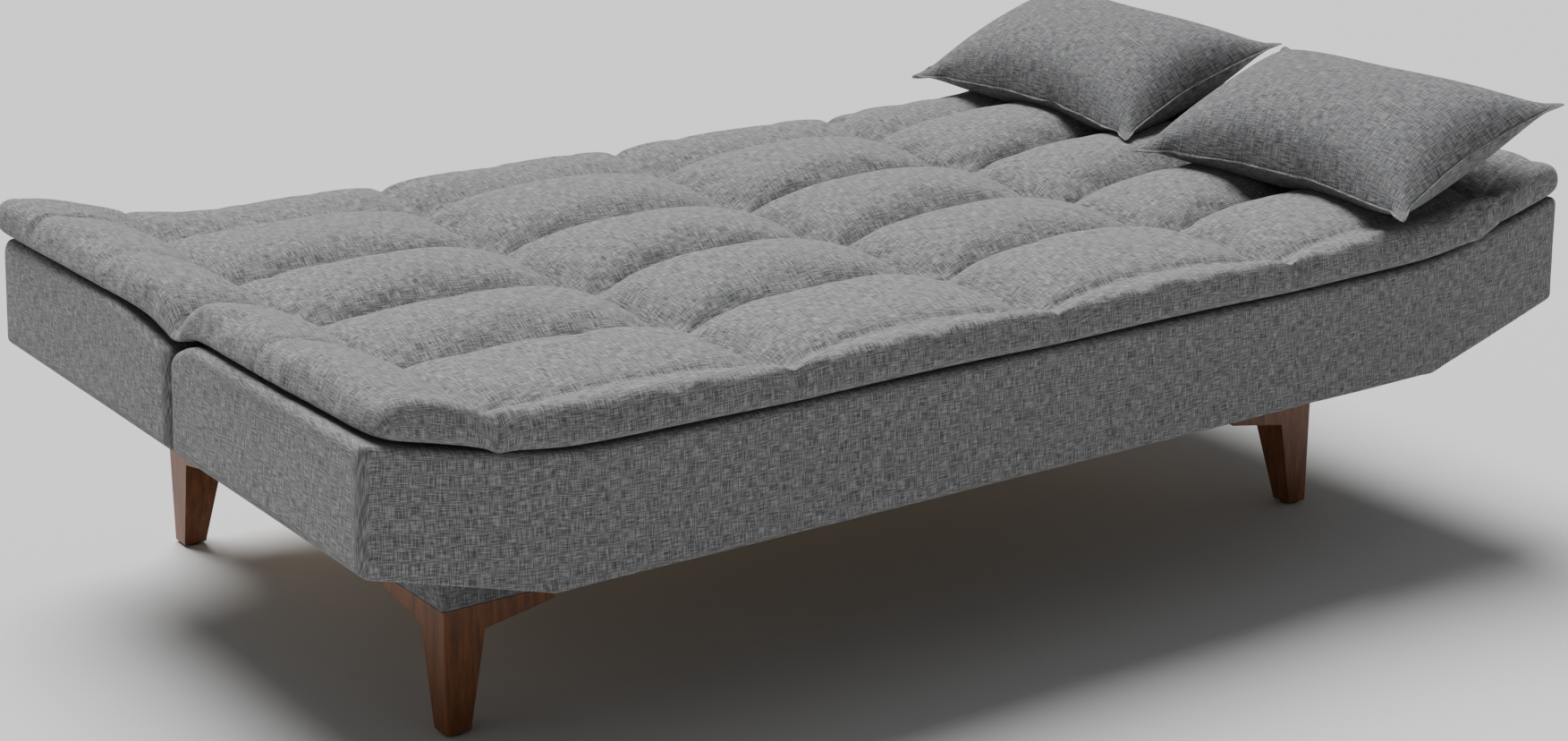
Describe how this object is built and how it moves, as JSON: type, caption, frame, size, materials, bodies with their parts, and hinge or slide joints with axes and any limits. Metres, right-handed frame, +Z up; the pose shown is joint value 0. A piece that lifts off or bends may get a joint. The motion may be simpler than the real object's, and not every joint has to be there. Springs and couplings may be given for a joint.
{
  "type": "futon sofa bed",
  "caption": "Two-section folding sofa bed shown flat: tufted grey fabric topper, raised ends, fabric-wrapped base box on tapered wooden legs, loose pillows.",
  "frame": {"origin": "on the floor, below the centre of the open bed", "axes": "+X to the right end (length), +Y to the rear where the back section is, +Z up"},
  "size_m": [1.81, 1.014, 0.6318],
  "materials": {
    "topper_fabric": "matte",
    "cover_fabric": "matte",
    "lining": "matte",
    "foam": "matte",
    "leg_wood": "satin",
    "board": "matte",
    "pine": "matte",
    "slat_wood": "satin",
    "steel": "satin",
    "black_steel": "satin",
    "nylon": "matte",
    "rubber": "matte"
  },
  "bodies": {
    "base": {"base_corner_blocks": "pine", "base_cover": "cover_fabric", "base_divider": "board", "base_floor_board": "board", "base_front_panel": "board", "base_left_panel": "board", "base_rear_panel": "board", "base_right_panel": "board", "guide_plate_left": "black_steel", "guide_plate_right": "black_steel", "guide_plate_standoffs": "steel", "leg_bolts": "steel", "leg_front_left": "leg_wood", "leg_front_right": "leg_wood", "leg_glides": "nylon", "leg_rear_left": "leg_wood", "leg_rear_right": "leg_wood", "rear_buffers": "rubber", "roller_track_left": "steel", "roller_track_right": "steel"},
    "seat": {"fold_pins": "steel", "ratchet_housings": "black_steel", "roller_axles": "steel", "seat_cover": "cover_fabric", "seat_end_foams": "foam", "seat_end_rails": "pine", "seat_foam": "foam", "seat_front_rail": "pine", "seat_middle_rail": "pine", "seat_plate_left": "black_steel", "seat_plate_right": "black_steel", "seat_rear_rail": "pine", "seat_slats": "slat_wood", "seat_topper": "topper_fabric", "seat_underside_cloth": "lining", "seat_wing_boards": "board"},
    "back": {"back_arm_left": "black_steel", "back_arm_right": "black_steel", "back_cover": "cover_fabric", "back_end_foams": "foam", "back_end_rails": "pine", "back_foam": "foam", "back_front_rail": "pine", "back_rear_rail": "pine", "back_side_rails": "pine", "back_slats": "slat_wood", "back_topper": "topper_fabric", "back_underside_cloth": "lining", "back_wing_boards": "board", "guide_pins": "steel"},
    "roller_front_left": {"roller_front_left": "nylon"},
    "roller_front_right": {"roller_front_right": "nylon"},
    "roller_rear_left": {"roller_rear_left": "nylon"},
    "roller_rear_right": {"roller_rear_right": "nylon"},
    "pillow_near": {"pillow_near_cover": "topper_fabric", "pillow_near_fill": "foam"},
    "pillow_far": {"pillow_far_cover": "topper_fabric", "pillow_far_fill": "foam"}
  },
  "joints": [
    {"name": "seat_travel", "type": "slide", "parent": "base", "child": "seat", "axis": [0, 1, 0], "range_m": [0, 0.225]},
    {"name": "back_fold", "type": "hinge", "parent": "seat", "child": "back", "pos_m": [0, -0.0225, 0.4], "axis": [1, 0, 0], "range_deg": [0, 75]},
    {"name": "roller_front_left_spin", "type": "hinge", "parent": "seat", "child": "roller_front_left", "pos_m": [-0.6605, -0.225, 0.237], "axis": [1, 0, 0], "range_deg": [-1410, 0]},
    {"name": "roller_front_right_spin", "type": "hinge", "parent": "seat", "child": "roller_front_right", "pos_m": [0.6605, -0.225, 0.237], "axis": [1, 0, 0], "range_deg": [-1410, 0]},
    {"name": "roller_rear_left_spin", "type": "hinge", "parent": "seat", "child": "roller_rear_left", "pos_m": [-0.6605, -0.062, 0.237], "axis": [1, 0, 0], "range_deg": [-1410, 0]},
    {"name": "roller_rear_right_spin", "type": "hinge", "parent": "seat", "child": "roller_rear_right", "pos_m": [0.6605, -0.062, 0.237], "axis": [1, 0, 0], "range_deg": [-1410, 0]},
    {"name": "pillow_near_shift", "type": "slide", "parent": "seat", "child": "pillow_near", "axis": [0, -1, 0], "range_m": [0, 0.101]},
    {"name": "pillow_far_shift", "type": "slide", "parent": "back", "child": "pillow_far", "axis": [0, 1, 0], "range_m": [0, 0.131]}
  ],
  "couplings": [
    {"joint": "back_fold", "follows": "seat_travel", "rad_per_m": 5.8178},
    {"joint": "roller_front_left_spin", "follows": "seat_travel", "rad_per_m": -108.7},
    {"joint": "roller_front_right_spin", "follows": "seat_travel", "rad_per_m": -108.7},
    {"joint": "roller_rear_left_spin", "follows": "seat_travel", "rad_per_m": -108.7},
    {"joint": "roller_rear_right_spin", "follows": "seat_travel", "rad_per_m": -108.7},
    {"joint": "pillow_far_shift", "follows": "seat_travel", "ratio": 0.57778},
    {"joint": "pillow_near_shift", "follows": "seat_travel", "ratio": 0.44444}
  ]
}
